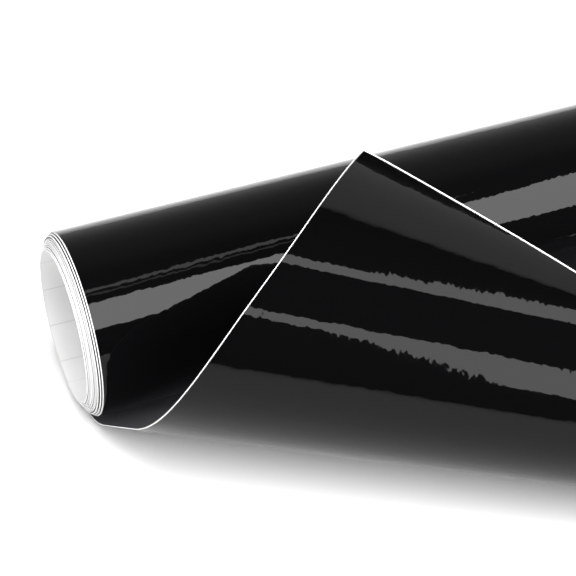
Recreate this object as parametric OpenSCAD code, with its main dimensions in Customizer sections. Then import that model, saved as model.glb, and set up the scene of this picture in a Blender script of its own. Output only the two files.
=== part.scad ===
// Roll of sign vinyl: a strip of gloss film on its release liner, wound without a core and lying
// on its side. X runs along the roll's axis, the free end runs out towards -Y and Z is up.
// The strip is flat on the surface below the roll. Its free corner stands up in two bends, leans
// over towards the roll and turns back a little near the tip, in bends that slant to the roll.

/* [Strip] */
// Width of the strip, which is also the length of the roll
strip_w = 305; // [200:5:610]
// Thickness of the film with its adhesive
film_t = 0.12; // [0.08:0.01:0.2]
// Thickness of the release liner
liner_t = 0.24; // [0.12:0.01:0.3]
// Length of the strip beyond the line where it leaves the roll
free_l = 151; // [120:1:190]

/* [Roll] */
// Radius of the hollow through the roll
bore_r = 20; // [16:0.5:40]
// Turns on the inside that can be pushed along together
inner_turns = 7; // [3:1:12]
// Turns wound round the inner ones
outer_turns = 3; // [1:1:4]
// Air between one turn and the next
turn_gap = 0.04; // [0.02:0.01:0.08]
// Air between the inner turns and the outer ones
slide_gap = 0.3; // [0.25:0.05:0.6]
// How far each turn's edge stands out beyond the turn outside it
edge_step = 0.55; // [0:0.05:2]

/* [Corner] */
// Angle between the bends and the roll's axis
bend_skew = 29.5; // [24:0.5:34]
// Air between the roll and the strip where it bends up beside it
roll_clear = 0.8; // [0.3:0.05:2]
// Angle of the lower bend
lower_bend = 48; // [36:1:56]
// Width of strip that the lower bend takes
lower_w = 12; // [5:0.5:15]
// Flat width between the two bends
between_w = 22; // [18:1:30]
// Angle of the upper bend
upper_bend = 91; // [60:1:95]
// Width of strip that the upper bend takes
upper_w = 45; // [36:1:54]
// Flat width between the upper bend and the bend near the tip
before_tip_w = 3; // [1:1:10]
// Angle by which the strip turns back near its tip
tip_bend = 46; // [20:1:60]
// Width of strip that the bend near the tip takes
tip_bend_w = 30; // [10:1:36]
// Air at the line where one stretch turns against the next
bend_gap = 0.3; // [0.25:0.05:0.5]

/* [Hidden] */
$fn = 180;

strip_t = film_t + liner_t;
pitch = strip_t + turn_gap;
inner_halves = 2 * inner_turns;
all_halves = inner_halves + 2 * outer_turns;
// The strip leaves the roll at the end of the last half turn
roll_r = bore_r + (all_halves - 1) * pitch / 2 + slide_gap + strip_t;
// Angle cut off the start of the outer turns, clear of the inner turns' end
start_trim = 3;
// Width left at the very tip of the corner
tip_w = 0.3;
// Lines across each bend
bend_steps = 12;
// How far the flat part runs on into the bent part, so that the two join in a volume
lap = 0.2;

film_colour = [0.02, 0.02, 0.025];
liner_colour = [0.93, 0.93, 0.92];

// ---- The wound turns, as half rings round two centres half a pitch apart ----

function half_r(i) = bore_r + i * pitch / 2 + (i < inner_halves ? 0 : slide_gap);
function turns_outside(i) = ceil((all_halves - i) / 2) - 1;
function half_x(i) = -strip_w / 2 - edge_step * min(turns_outside(i), outer_turns - 1);

// Half turn number i of a layer that lies between two depths in the strip, counted from its inside.
// Odd ones are at the back and run down to the surface; even ones are at the front and run up.
module half_turn(i, from_t, to_t, trim = 0)
    translate([half_x(i), 0, i % 2 == 0 ? pitch / 2 : 0])
        rotate([90, 0, 90])
            rotate_extrude(angle = 180 - trim, start = i % 2 == 0 ? 90 : 270)
                translate([half_r(i) + from_t, 0])
                    square([to_t - from_t, strip_w]);

module wound(first, last, from_t, to_t, trim = 0)
    for (i = [first : last])
        half_turn(i, from_t, to_t, i == first ? trim : 0);

// ---- The free end, laid out by distance across the bends (t) and along them (w) ----

function strip_u(t, w) = w * cos(bend_skew) - t * sin(bend_skew);
function w_low(t) = max(t * tan(bend_skew), -t / tan(bend_skew));
function w_high(t) = min((strip_w + t * sin(bend_skew)) / cos(bend_skew),
                         (free_l - t * cos(bend_skew)) / sin(bend_skew));

// The lower bend starts as close to the roll as the roll's curve leaves room for
rise = atan(tan(lower_bend) * cos(bend_skew));
rise_from = roll_r * tan(rise / 2) + (strip_t + roll_clear) / sin(rise);
flat_w = rise_from * cos(bend_skew) - lower_w / (lower_bend * PI / 180) * tan(lower_bend / 2);
lower_to = flat_w + lower_w;
upper_from = lower_to + between_w;
upper_to = upper_from + upper_w;
tip_from = upper_to + before_tip_w;
tip_to = tip_from + tip_bend_w;
// Where the long edge and the cut end meet at the far side, and where the tip is
far_t = free_l * cos(bend_skew) - strip_w * sin(bend_skew);
tip_t = free_l * cos(bend_skew) - tip_w;
// The lines that the lower and upper bends turn about
lower_line = flat_w + lower_w / 2;
upper_line = upper_from + upper_w / 2;

// Position and slope across the bends: a bend is an arc, and the strip is straight between them
function arc_h(t, from, width, turn, slope) =
    let (r = width / (turn * PI / 180), a = (t - from) / width * turn)
    r * (sin(slope + a) - sin(slope));
function arc_v(t, from, width, turn, slope) =
    let (r = width / (turn * PI / 180), a = (t - from) / width * turn)
    r * (cos(slope) - cos(slope + a));
function across_h(t) =
    t <= flat_w ? t
    : t <= lower_to ? flat_w + arc_h(t, flat_w, lower_w, lower_bend, 0)
    : t <= upper_from ? across_h(lower_to) + (t - lower_to) * cos(lower_bend)
    : t <= upper_to ? across_h(upper_from) + arc_h(t, upper_from, upper_w, upper_bend, lower_bend)
    : t <= tip_from ? across_h(upper_to) + (t - upper_to) * cos(lower_bend + upper_bend)
    : t <= tip_to ? across_h(tip_from) + arc_h(t, tip_from, tip_bend_w, -tip_bend, lower_bend + upper_bend)
    : across_h(tip_to) + (t - tip_to) * cos(lower_bend + upper_bend - tip_bend);
function across_v(t) =
    t <= flat_w ? 0
    : t <= lower_to ? arc_v(t, flat_w, lower_w, lower_bend, 0)
    : t <= upper_from ? across_v(lower_to) + (t - lower_to) * sin(lower_bend)
    : t <= upper_to ? across_v(upper_from) + arc_v(t, upper_from, upper_w, upper_bend, lower_bend)
    : t <= tip_from ? across_v(upper_to) + (t - upper_to) * sin(lower_bend + upper_bend)
    : t <= tip_to ? across_v(tip_from) + arc_v(t, tip_from, tip_bend_w, -tip_bend, lower_bend + upper_bend)
    : across_v(tip_to) + (t - tip_to) * sin(lower_bend + upper_bend - tip_bend);
function slope_at(t) =
    lower_bend * min(max((t - flat_w) / lower_w, 0), 1)
    + upper_bend * min(max((t - upper_from) / upper_w, 0), 1)
    - tip_bend * min(max((t - tip_from) / tip_bend_w, 0), 1);

// A point of the bent strip, at a depth counted up from the face that lies on the surface
function bent(t, w, depth) =
    let (h = across_h(t) - depth * sin(slope_at(t)), v = across_v(t) + depth * cos(slope_at(t)))
    [-strip_w / 2 + w * cos(bend_skew) - h * sin(bend_skew),
     -w * sin(bend_skew) - h * cos(bend_skew),
     v - roll_r];

// The lines across a stretch: its two ends, and the steps of any bend between them
function lines_between(from, to) =
    let (steps = concat([for (k = [0 : bend_steps]) flat_w + k * lower_w / bend_steps],
                        [for (k = [0 : bend_steps]) upper_from + k * upper_w / bend_steps],
                        [for (k = [0 : bend_steps]) tip_from + k * tip_bend_w / bend_steps],
                        far_t > 0 ? [far_t] : []),
         inside = [for (t = steps) if (t > from + 0.1 && t < to - 0.1) t])
    concat([from], sorted(inside), [to]);
function sorted(list) =
    len(list) < 2 ? list
    : let (p = list[0],
           below = [for (k = [1 : len(list) - 1]) if (list[k] < p) list[k]],
           above = [for (k = [1 : len(list) - 1]) if (list[k] > p) list[k]])
      concat(sorted(below), [p], sorted(above));

// A stretch of one layer: four points on each line, joined from line to line
module stretch(from, to, low, high) {
    ts = lines_between(from, to);
    n = len(ts);
    points = [for (t = ts, side = [w_low(t), w_high(t)], depth = [low, high]) bent(t, side, depth)];
    ring = [0, 2, 3, 1];
    polyhedron(points,
        concat([ring],
               [for (k = [0 : n - 2], e = [0 : 3])
                   [4 * k + ring[e], 4 * k + 4 + ring[e],
                    4 * k + 4 + ring[(e + 1) % 4], 4 * k + ring[(e + 1) % 4]]],
               [[for (e = [3 : -1 : 0]) 4 * (n - 1) + ring[e]]]),
        convexity = 4);
}

// The part of the free end that lies flat, from the roll to the first bend
module flat_end(low, high)
    translate([-strip_w / 2, 0, low - roll_r])
        linear_extrude(high - low)
            polygon(strip_w * tan(bend_skew) + lap < free_l
                ? [[0, 0], [0, -lap], [strip_w, -strip_w * tan(bend_skew) - lap], [strip_w, 0]]
                : [[0, 0], [0, -lap], [(free_l - lap) / tan(bend_skew), -free_l],
                   [strip_w, -free_l], [strip_w, 0]]);

// One layer of each stretch of the strip. A depth in the strip is counted from its inner face on
// the roll, and from its lower face on the surface.
module inner_part(from_t, to_t)
    wound(0, inner_halves - 1, from_t, to_t);
module roll_part(from_t, to_t) {
    wound(inner_halves, all_halves - 1, from_t, to_t, start_trim);
    flat_end(strip_t - to_t, strip_t - from_t);
    stretch(0, lower_line - bend_gap / 2, strip_t - to_t, strip_t - from_t);
}
module flap_part(from_t, to_t)
    stretch(lower_line + bend_gap / 2, upper_line - bend_gap / 2, strip_t - to_t, strip_t - from_t);
module corner_part(from_t, to_t)
    stretch(upper_line + bend_gap / 2, tip_t, strip_t - to_t, strip_t - from_t);

module film_inner_turns() color(film_colour) inner_part(liner_t, strip_t);
module film_roll() color(film_colour) roll_part(liner_t, strip_t);
module film_flap() color(film_colour) flap_part(liner_t, strip_t);
module film_corner() color(film_colour) corner_part(liner_t, strip_t);
module liner_inner_turns() color(liner_colour) inner_part(0, liner_t);
module liner_roll() color(liner_colour) roll_part(0, liner_t);
module liner_flap() color(liner_colour) flap_part(0, liner_t);
module liner_corner() color(liner_colour) corner_part(0, liner_t);

film_inner_turns();
film_roll();
film_flap();
film_corner();
liner_inner_turns();
liner_roll();
liner_flap();
liner_corner();
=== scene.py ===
import math

import bpy
import numpy as np
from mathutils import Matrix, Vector


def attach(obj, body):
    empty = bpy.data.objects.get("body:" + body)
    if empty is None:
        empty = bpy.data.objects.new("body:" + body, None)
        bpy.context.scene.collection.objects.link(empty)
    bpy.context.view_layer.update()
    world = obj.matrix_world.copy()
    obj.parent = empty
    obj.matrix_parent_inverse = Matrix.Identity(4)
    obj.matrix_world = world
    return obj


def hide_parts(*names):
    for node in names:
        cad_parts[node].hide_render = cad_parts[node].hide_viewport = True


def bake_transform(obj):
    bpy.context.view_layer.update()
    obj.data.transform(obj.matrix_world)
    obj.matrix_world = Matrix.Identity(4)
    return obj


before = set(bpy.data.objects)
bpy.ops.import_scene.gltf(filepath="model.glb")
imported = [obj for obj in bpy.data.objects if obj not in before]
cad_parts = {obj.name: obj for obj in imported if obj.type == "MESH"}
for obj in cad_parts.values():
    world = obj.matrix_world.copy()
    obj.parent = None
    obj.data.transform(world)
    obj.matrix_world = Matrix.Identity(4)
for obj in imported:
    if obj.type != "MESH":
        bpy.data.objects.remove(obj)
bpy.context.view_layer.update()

print("frame loaded")

# The strip and how it is wound. Lengths are in metres and angles in degrees.
strip = {
    "width": 0.305,
    "filmThickness": 0.00012,
    "linerThickness": 0.00024,
    "freeLength": 0.1524,     # beyond the line where it leaves the roll
    "linerMargin": 0.00028,   # liner left bare beside the film
}
winding = {
    "boreRadius": 0.020,
    "innerTurns": 7,
    "outerTurns": 3,
    "turnGap": 0.00004,
    "slideGap": 0.0003,       # air between the inner turns and the outer ones
    "edgeStep": 0.00055,      # how far an outer turn's edge stands out beyond the next
    "outerSteps": 2,
    "stepShare": 0.8,         # the last part of a turn in which its edge moves out to the next
    "innerStep": 0.00026,     # the same for each of the inner turns
    "edgeWander": 0.00008,    # and how unevenly those lie
    "wanderRate": 2.3,
    "startTrim": 3,
    "rowsPerHalfTurn": 48,
}
# The bends in the free end. Each starts at a distance along its left edge and slants away from the
# edge, less and less towards the tip, so the corner is part of a cone and not of a cylinder. The
# seam, also along a slanting line, is where the raised corner's pieces take over from the run's.
corner = {
    "lower": {"start": 0.0020, "width": 0.0200, "turn": 46.8, "slants": (30.5, 30.5)},
    "upper": {"start": 0.0421, "width": 0.0605, "turn": 93.5, "slants": (30.5, 24.3)},
    "tip": {"start": 0.1110, "width": 0.0414, "turn": -69.5, "slants": (24.3, 6.2)},
    "ease": 0.04,             # share of a bend in which it sets in, and fades out
    "frames": 1600,
    "seam": 0.030,
}

stripThickness = strip["filmThickness"] + strip["linerThickness"]
pitch = stripThickness + winding["turnGap"]
innerHalves = 2 * winding["innerTurns"]
allHalves = innerHalves + 2 * winding["outerTurns"]
rollRadius = (winding["boreRadius"] + (allHalves - 1) * pitch / 2
              + winding["slideGap"] + stripThickness)
floorHeight = -rollRadius
leftEdge = -strip["width"] / 2


# Where the strip's inner face runs on the roll, by half turns counted from the middle
def halfRadius(half):
    return (winding["boreRadius"] + half * pitch / 2
            + np.where(half < innerHalves, 0, winding["slideGap"]))


def easeStep(x):
    x = np.clip(x, 0, 1)
    return x * x * (3 - 2 * x)


def edgeOut(halves):      # how far the left edge stands out past the outermost turn's
    ends = [allHalves - 2 * (turn + 1) for turn in range(winding["outerSteps"])]
    out = sum(easeStep((end - halves) / winding["stepShare"]) for end in ends)
    inside = np.clip(innerHalves - halves, 0, None) / 2
    return (out * winding["edgeStep"] + inside * winding["innerStep"]
            + np.sin(halves * winding["wanderRate"]) * winding["edgeWander"] * np.clip(inside, 0, 1))


def woundLength(halves):  # length of strip wound up to there
    whole = np.arange(allHalves)
    sums = np.concatenate([[0], np.cumsum(math.pi * (halfRadius(whole) + stripThickness / 2))])
    return np.interp(halves, np.arange(allHalves + 1), sums)


def woundPoints(share, halves, depth, margin):
    half = np.clip(np.floor(halves), 0, allHalves - 1)
    angle = np.radians(np.where(half % 2 == 0, 270, 90) - 180 * (halves - half))
    radius = halfRadius(half) + depth
    u = margin + share * (strip["width"] - margin)
    x = leftEdge - edgeOut(halves) + u
    z = np.where(half % 2 == 0, pitch / 2, 0) + radius * np.sin(angle)
    points = np.stack([x, radius * np.cos(angle), z], axis=-1)
    uv = np.stack([u, woundLength(halves)], axis=-1)
    return points, uv


# The free end is bent along straight lines, each named by where it meets the left edge. Every
# short step along the edge turns the rest of the sheet a little about the line there.
bends = (corner["lower"], corner["upper"], corner["tip"])
bendEnds = [place for bend in bends for place in (bend["start"], bend["start"] + bend["width"])]


def slantAt(edge):
    slants = [slant for bend in bends for slant in bend["slants"]]
    return np.radians(np.interp(edge, bendEnds, slants))


def easeBend(x):          # a bend that sets in and fades out over a short stretch at its ends
    x, ease = np.clip(x, 0, 1), corner["ease"]
    first = x * x / (2 * ease)
    last = 1 - ease - (1 - x) ** 2 / (2 * ease)
    return np.where(x < ease, first, np.where(x > 1 - ease, last, x - ease / 2)) / (1 - ease)


def turnedTo(edge):       # how far the sheet has turned by there, in degrees
    return sum(bend["turn"] * easeBend((edge - bend["start"]) / bend["width"]) for bend in bends)


def bendFrames():         # the place of the rest of the sheet after each short step
    steps = np.linspace(0, strip["freeLength"], corner["frames"] + 1)
    middles = (steps[1:] + steps[:-1]) / 2
    turns = -np.radians(np.diff(turnedTo(steps)))
    spin, shift = np.eye(3), np.zeros(3)
    spins, shifts = [spin], [shift]
    for edge, turn, slant in zip(middles, turns, slantAt(middles)):
        x, y = math.cos(slant), -math.sin(slant)
        cross = np.array([[0, 0, y], [0, 0, -x], [-y, x, 0]])
        step = np.eye(3) + math.sin(turn) * cross + (1 - math.cos(turn)) * cross @ cross
        on = np.array([0, -edge, 0])
        shift = spin @ (on - step @ on) + shift
        spin = spin @ step
        spins.append(spin)
        shifts.append(shift)
    return steps, np.array(spins), np.array(shifts)


edgeSteps, edgeSpins, edgeShifts = bendFrames()


def freePoints(share, edge, depth, margin):     # depth is counted up from the face on the floor
    slope = np.tan(slantAt(edge))
    low = np.where(edge > 0, margin, np.maximum(-edge / slope, margin))
    high = np.minimum(strip["width"], (strip["freeLength"] - margin - edge) / slope)
    u = low + share * np.clip(high - low, 0.00002, None)
    s = edge + u * slope
    at = np.clip(np.searchsorted(edgeSteps, edge, side="right") - 1, 0, len(edgeSteps) - 1)
    flat = np.stack([u, -s, np.full_like(u, depth)], axis=-1)
    points = np.einsum("nij,nj->ni", edgeSpins[at], flat) + edgeShifts[at]
    return points + [leftEdge, 0, floorHeight], np.stack([u, woundLength(allHalves) + s], axis=-1)


class Value:
    # A number that varies over a surface. Arithmetic on it adds Math nodes.
    def __init__(self, tree, socket):
        self.tree, self.socket = tree, socket

    def math(self, operation, *others):
        node = self.tree.nodes.new("ShaderNodeMath")
        node.operation = operation
        for slot, value in zip(node.inputs, (self, *others)):
            if isinstance(value, Value):
                self.tree.links.new(value.socket, slot)
            else:
                slot.default_value = value
        return Value(self.tree, node.outputs[0])

    def __add__(self, other): return self.math("ADD", other)
    def __sub__(self, other): return self.math("SUBTRACT", other)
    def __mul__(self, other): return self.math("MULTIPLY", other)
    def __rsub__(self, other): return self.math("MULTIPLY", -1).math("ADD", other)
    __radd__, __rmul__ = __add__, __mul__


class Finish:
    # A material, or the world, whose nodes all come from add
    def __init__(self, owner):
        self.owner = owner
        owner.use_nodes = True
        self.tree = owner.node_tree
        self.tree.nodes.clear()

    def add(self, kind, settings={}, sockets={}, output=0):
        node = self.tree.nodes.new("ShaderNode" + kind)
        for name, value in settings.items():
            setattr(node, name, value)
        for name, value in sockets.items():
            if isinstance(value, Value):
                self.tree.links.new(value.socket, node.inputs[name])
            else:
                node.inputs[name].default_value = value
        return Value(self.tree, node.outputs[output]) if node.outputs else None

    def shade(self, sockets, output="Material"):
        surface = self.add("BsdfPrincipled", {}, sockets)
        self.add("Output" + output, {}, {"Surface": surface})
        return self.owner

    def mix(self, amount, low, high):
        return self.add("Mix", {"data_type": "RGBA"}, {0: amount, 6: low, 7: high}, 2)


def grey(level, blue=1.0):
    return (level, level, level * blue, 1)


filmLook = {
    "colour": 0.0014,
    "ior": 1.20,
    "roughness": 0.035,
    "peelScale": 230,         # the fine orange peel of calendered film, per metre
    "peelDepth": 0.00005,
    "waveScale": 45,          # and slower waves under it
    "waveDepth": 0.00010,
    "smearScale": 18,         # patches where the gloss is a little duller
    "smearStrength": 0.03,
}


def glossFilm():
    look = Finish(bpy.data.materials.new("glossFilm"))
    place = look.add("TexCoord", {}, {}, 3)
    peel = look.add("TexNoise", {}, {"Vector": place, "Scale": filmLook["peelScale"], "Detail": 2})
    wave = look.add("TexNoise", {}, {"Vector": place, "Scale": filmLook["waveScale"], "Detail": 1})
    smear = look.add("TexNoise", {}, {"Vector": place, "Scale": filmLook["smearScale"], "Detail": 4})
    height = peel * filmLook["peelDepth"] + wave * filmLook["waveDepth"]
    bump = look.add("Bump", {}, {"Height": height, "Distance": 1.0, "Strength": 1.0})
    return look.shade({
        "Base Color": grey(filmLook["colour"], 1.1),
        "Roughness": (smear - 0.5) * filmLook["smearStrength"] + filmLook["roughness"],
        "IOR": filmLook["ior"],
        "Normal": bump,
    })


linerLook = {
    "colour": 0.78,
    "lineColour": 0.50,
    "lineStrength": 0.5,
    "gridSize": 0.010,
    "lineWidth": 0.0003,
    "roughness": 0.48,
}


def gridLines(look, distance):    # 1 on each printed line, 0 between them
    cell = (distance * (1 / linerLook["gridSize"]) + 0.5).math("FRACT") - 0.5
    half = linerLook["lineWidth"] / linerLook["gridSize"] / 2
    return look.add("MapRange", {"interpolation_type": "SMOOTHSTEP"},
                    {"Value": cell.math("ABSOLUTE"), "From Min": half * 0.5, "From Max": half * 1.5,
                     "To Min": 1.0, "To Max": 0.0})


def linerPaper():
    look = Finish(bpy.data.materials.new("linerPaper"))
    sheetUv = look.add("UVMap", {"uv_map": "sheetUv"})
    u = look.add("SeparateXYZ", {}, {"Vector": sheetUv}, 0)
    v = look.add("SeparateXYZ", {}, {"Vector": sheetUv}, 1)
    lines = gridLines(look, u).math("MAXIMUM", gridLines(look, v)) * linerLook["lineStrength"]
    fibre = look.add("TexNoise", {}, {"Vector": sheetUv, "Scale": 900, "Detail": 3})
    cloud = look.add("TexNoise", {}, {"Vector": sheetUv, "Scale": 25, "Detail": 2})
    paper = look.mix(cloud * 0.5 + fibre * 0.2,
                     grey(linerLook["colour"], 0.995), grey(linerLook["colour"] * 0.95))
    bump = look.add("Bump", {}, {"Height": fibre, "Distance": 0.000006, "Strength": 1.0})
    return look.shade({
        "Base Color": look.mix(lines, paper, grey(linerLook["lineColour"], 1.05)),
        "Roughness": fibre * 0.12 + (linerLook["roughness"] - 0.06),
        "Normal": bump,
    })


edgeLook = {"palest": 0.66, "darkest": 0.58, "roughness": 0.6}


def cutEdge():            # the liner's bare margin and its cut edge
    look = Finish(bpy.data.materials.new("cutEdge"))
    place = look.add("TexCoord", {}, {}, 3)
    fibre = look.add("TexNoise", {}, {"Vector": place, "Scale": 1500, "Detail": 2})
    return look.shade({"Base Color": look.mix(fibre, grey(edgeLook["palest"]), grey(edgeLook["darkest"])),
                       "Roughness": edgeLook["roughness"]})


# Painted shade: the colour of the free end's inner face, dark grey in place of the shade between the
# raised sheet and the roll
backLook = {"colour": 0.11, "roughness": 0.35}


def paintedShadeBack():           # the free end's inner face, pale liner like the bore, painted dark as the shade in the gap between it and the roll
    look = Finish(bpy.data.materials.new("paintedShadeBack"))
    place = look.add("TexCoord", {}, {}, 3)
    fine = look.add("TexNoise", {}, {"Vector": place, "Scale": 300, "Detail": 3})
    bump = look.add("Bump", {}, {"Height": fine, "Distance": 0.00004, "Strength": 1.0})
    return look.shade({
        "Base Color": grey(backLook["colour"], 1.1),
        "Roughness": fine * 0.06 + (backLook["roughness"] - 0.03),
        "IOR": filmLook["ior"],
        "Normal": bump,
    })


finishes = {"film": glossFilm(), "liner": linerPaper(), "edge": cutEdge(), "back": paintedShadeBack()}
print("finishes ready")


# A flat grid is added, laid along the strip and thickened. Its rows lie at the places given, and
# the materials are those of its outer face, its cut edge and its inner face.
def sheetPiece(name, rowPlaces, columns, pointsAt, depth, margin, thickness, materials):
    bpy.ops.object.select_all(action="DESELECT")
    bpy.ops.mesh.primitive_grid_add(x_subdivisions=columns, y_subdivisions=len(rowPlaces) - 1, size=1)
    piece = bpy.context.object
    piece.name = piece.data.name = name
    mesh = piece.data
    flat = np.empty(len(mesh.vertices) * 3)
    mesh.vertices.foreach_get("co", flat)
    flat = flat.reshape(-1, 3) + 0.5
    row = np.rint(flat[:, 1] * (len(rowPlaces) - 1)).astype(int)
    points, uv = pointsAt(flat[:, 0], np.asarray(rowPlaces)[row], depth, margin)
    mesh.vertices.foreach_set("co", points.ravel())
    while mesh.uv_layers:
        mesh.uv_layers.remove(mesh.uv_layers[0])
    layer = mesh.uv_layers.new(name="sheetUv")
    corners = np.empty(len(mesh.loops), dtype=int)
    mesh.loops.foreach_get("vertex_index", corners)
    layer.data.foreach_set("uv", uv[corners].ravel())
    mesh.update()
    for material in materials:
        mesh.materials.append(material)
    thicken = piece.modifiers.new("thicken", "SOLIDIFY")
    thicken.thickness = thickness
    thicken.offset = -1
    thicken.use_even_offset = True
    thicken.material_offset_rim = 1
    thicken.material_offset = 2
    bpy.ops.object.modifier_apply(modifier="thicken")
    bpy.ops.object.shade_smooth_by_angle(angle=math.radians(40))
    return piece


# The film and the liner of one part. Depth is counted from the inner face on the roll and from
# the face on the floor in the free end, so the layers' order is the other way round there.
def layerPieces(part, rowPlaces, columns, pointsAt, innerFirst, backFace):
    film, liner = strip["filmThickness"], strip["linerThickness"]
    filmDepth, linerDepth = (film + liner, liner) if innerFirst else (0, film)
    gloss, edge = finishes["film"], finishes["edge"]
    return (sheetPiece("film" + part, rowPlaces, columns, pointsAt, filmDepth,
                       strip["linerMargin"], film, (gloss, gloss, gloss)),
            sheetPiece("liner" + part, rowPlaces, columns, pointsAt, linerDepth,
                       0, liner, (edge, edge, backFace)))


rowsPerHalf = winding["rowsPerHalfTurn"]
innerRows = np.linspace(0, innerHalves, innerHalves * rowsPerHalf + 1)
innerRows[-1] -= 1e-6     # still on the last half turn
outerRows = np.linspace(innerHalves + winding["startTrim"] / 180, allHalves,
                        (allHalves - innerHalves) * rowsPerHalf + 1)
outerRows[-1] -= 1e-6
innerPieces = layerPieces("InnerWinding", innerRows, 16, woundPoints, True, finishes["liner"])
outerPieces = layerPieces("OuterWinding", outerRows, 24, woundPoints, True, finishes["liner"])
print("turns wound")


def rowsBetween(places, steps):   # rows through these places, so many steps from each to the next
    rows = [np.linspace(a, b, n, endpoint=False) for a, b, n in zip(places, places[1:], steps)]
    return np.concatenate(rows + [places[-1:]])


farCorner = -strip["width"] * math.tan(float(slantAt(0)))
cutCorner = farCorner + strip["freeLength"]
tipTrim = 0.0006
farTrim = 0.0001
runRows = rowsBetween([farCorner + farTrim, cutCorner, 0, *bendEnds[:2], corner["seam"]],
                      [40, 8, 6, 36, 8])
cornerRows = rowsBetween([corner["seam"], *bendEnds[2:5], strip["freeLength"] - tipTrim],
                         [8, 90, 8, 64])
# The free end's inner face gets the painted shade, the wound turns' inner face the pale liner
runPieces = layerPieces("FreeRun", runRows, 60, freePoints, False, finishes["back"])
cornerPieces = layerPieces("RaisedCorner", cornerRows, 60, freePoints, False, finishes["back"])
print("free end laid and bent")


def bendEndPoints(bend):      # two points square to the line where the bend starts
    edges = np.array([bend["start"], bend["start"], bend["start"] + bend["width"]])
    points, uv = freePoints(np.array([0.5, 0.6, 0.5]), edges, stripThickness / 2, 0)
    along = (points[1] - points[0]) / np.linalg.norm(points[1] - points[0])
    reach = points[2] - points[0]
    return {"start": tuple(points[0]), "end": tuple(points[0] + reach - along * (along @ reach))}


for piece in innerPieces:
    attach(piece, "inner_turns")
for piece in outerPieces:
    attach(piece, "root")
for piece in runPieces:
    bendEndPoints(corner["lower"])
    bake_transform(piece)
for piece in cornerPieces:
    bendEndPoints(corner["upper"])
    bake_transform(piece)
for layer, slotName in ((0, "film"), (1, "liner")):
    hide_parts(slotName + "_inner_turns")
    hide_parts(slotName + "_roll")
    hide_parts(slotName + "_flap")
    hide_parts(slotName + "_corner")

floorLook = {"size": 4.0, "colour": 0.86}
bpy.ops.object.select_all(action="DESELECT")
bpy.ops.mesh.primitive_plane_add(size=floorLook["size"], location=(0, 0, floorHeight))
floor = bpy.context.object
floor.name = "studioFloor"
look = Finish(bpy.data.materials.new("floorPaper"))
floor.data.materials.append(look.shade({"Base Color": grey(floorLook["colour"]), "Roughness": 0.8,
                                        "Specular IOR Level": 0.2}))

innerLength = float(woundLength(innerHalves))
outerLength = float(woundLength(allHalves)) - innerLength


print("wound pieces tied to their bodies")

def towards(bearing, height):     # bearing from +Y round by +X, and angle above the floor
    bearing, height = math.radians(bearing), math.radians(height)
    return Vector((math.sin(bearing) * math.cos(height), math.cos(bearing) * math.cos(height),
                   math.sin(height)))


camera = {
    "azimuth": 20.55,
    "elevation": 42.95,
    "distance": 0.700,
    "target": (0.0583 + leftEdge, 0, 0.0182 + floorHeight),
    "lens": 167.0,
}


def placeCamera():
    looks = towards(camera["azimuth"], -camera["elevation"])
    bpy.ops.object.camera_add(location=Vector(camera["target"]) - looks * camera["distance"])
    made = bpy.context.object
    made.rotation_euler = looks.to_track_quat("-Z", "Y").to_euler()
    made.data.lens = camera["lens"]
    made.data.sensor_width = 36
    made.data.clip_start, made.data.clip_end = 0.01, 20
    bpy.context.scene.camera = made


placeCamera()


# A panel of light that doesn't show in the gloss, aimed at the left part of the roll
def panel(name, bearing, height, distance, size, brightness):
    away = towards(bearing, height)
    bpy.ops.object.light_add(type="AREA", location=Vector((-0.08, 0, 0)) + away * distance)
    made = bpy.context.object
    made.name = name
    made.rotation_euler = away.to_track_quat("Z", "Y").to_euler()
    made.data.shape = "RECTANGLE"
    made.data.size, made.data.size_y = size
    made.data.energy = brightness * math.pi * size[0] * size[1]   # radiance to watts
    made.visible_glossy = made.visible_camera = False


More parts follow.
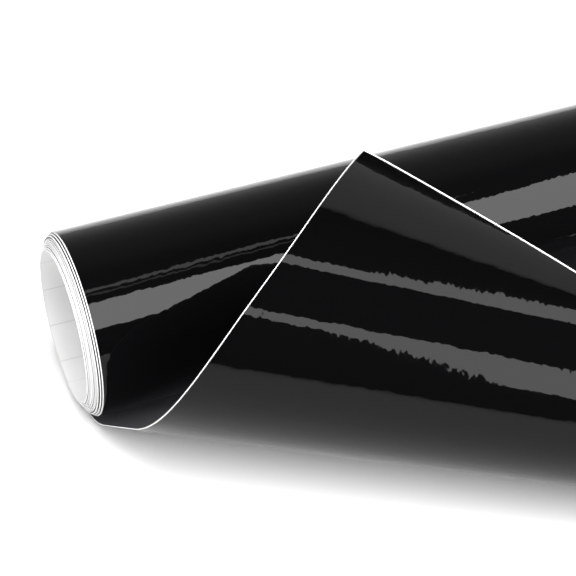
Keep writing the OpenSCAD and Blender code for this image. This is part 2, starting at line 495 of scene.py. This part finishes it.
panel("overheadLight", 180, 84, 1.3, (1.7, 1.5), 4.6)
panel("frontLight", 148, 38, 1.2, (1.5, 0.9), 9.5)
panel("leftLight", 262, 35, 1.2, (0.8, 0.5), 2.2)


# A card that shows only in the gloss, with its corners given by bearing and height
def card(name, corners, brightness):
    middle, distance = Vector((-0.08, -0.03, 0)), 1.3
    points = [towards(bearing, height) * distance + middle for bearing, height in corners]
    mesh = bpy.data.meshes.new(name)
    mesh.from_pydata(points, [], [range(len(points))])
    made = bpy.data.objects.new(name, mesh)
    bpy.context.collection.objects.link(made)
    shine = Finish(bpy.data.materials.new(name))
    shine.add("OutputMaterial", {},
              {"Surface": shine.add("Emission", {}, {"Strength": brightness})})
    mesh.materials.append(shine.owner)
    made.visible_diffuse = made.visible_camera = made.visible_shadow = False


card("rollCard", ((112, 61), (140, 63), (172, 62), (176, 32), (140, 31), (112, 36)), 17)
card("flapCard", ((214, 46), (209, 44), (206.7, 36), (205.2, 24), (196, 20),
                  (197, 49.5), (200, 50.8), (204, 51.8), (208, 52.2), (214, 52.5)), 10.5)
card("upperStreak", ((105, 76), (140, 78), (165, 78), (165, 76), (140, 75), (105, 73)), 5)
card("lowerStreak", ((110, 70), (165, 72), (165, 70.5), (110, 68.5)), 2.5)

# The studio is bright behind the roll, most of all low down, and dark in front of it
studioLook = {"low": 0.85, "high": 0.3, "front": 0.04}
world = bpy.data.worlds.new("studio")
bpy.context.scene.world = world
look = Finish(world)
direction = look.add("TexCoord", {}, {}, 0)
toBack = look.add("SeparateXYZ", {}, {"Vector": direction}, 1)
up = look.add("SeparateXYZ", {}, {"Vector": direction}, 2)
behind = look.add("MapRange", {"interpolation_type": "SMOOTHSTEP"},
                  {"Value": toBack, "From Min": 0.05, "From Max": 0.5, "To Min": 0.0, "To Max": 1.0})
wall = look.add("MapRange", {}, {"Value": up, "From Min": 0.0, "From Max": 0.9,
                                 "To Min": studioLook["low"], "To Max": studioLook["high"]})
backdrop = look.add("Background", {}, {"Color": grey(1.0),
                                       "Strength": behind * wall + studioLook["front"]})
look.add("OutputWorld", {}, {"Surface": backdrop})
bpy.context.scene.view_settings.view_transform = "Standard"
print("camera and lights set")
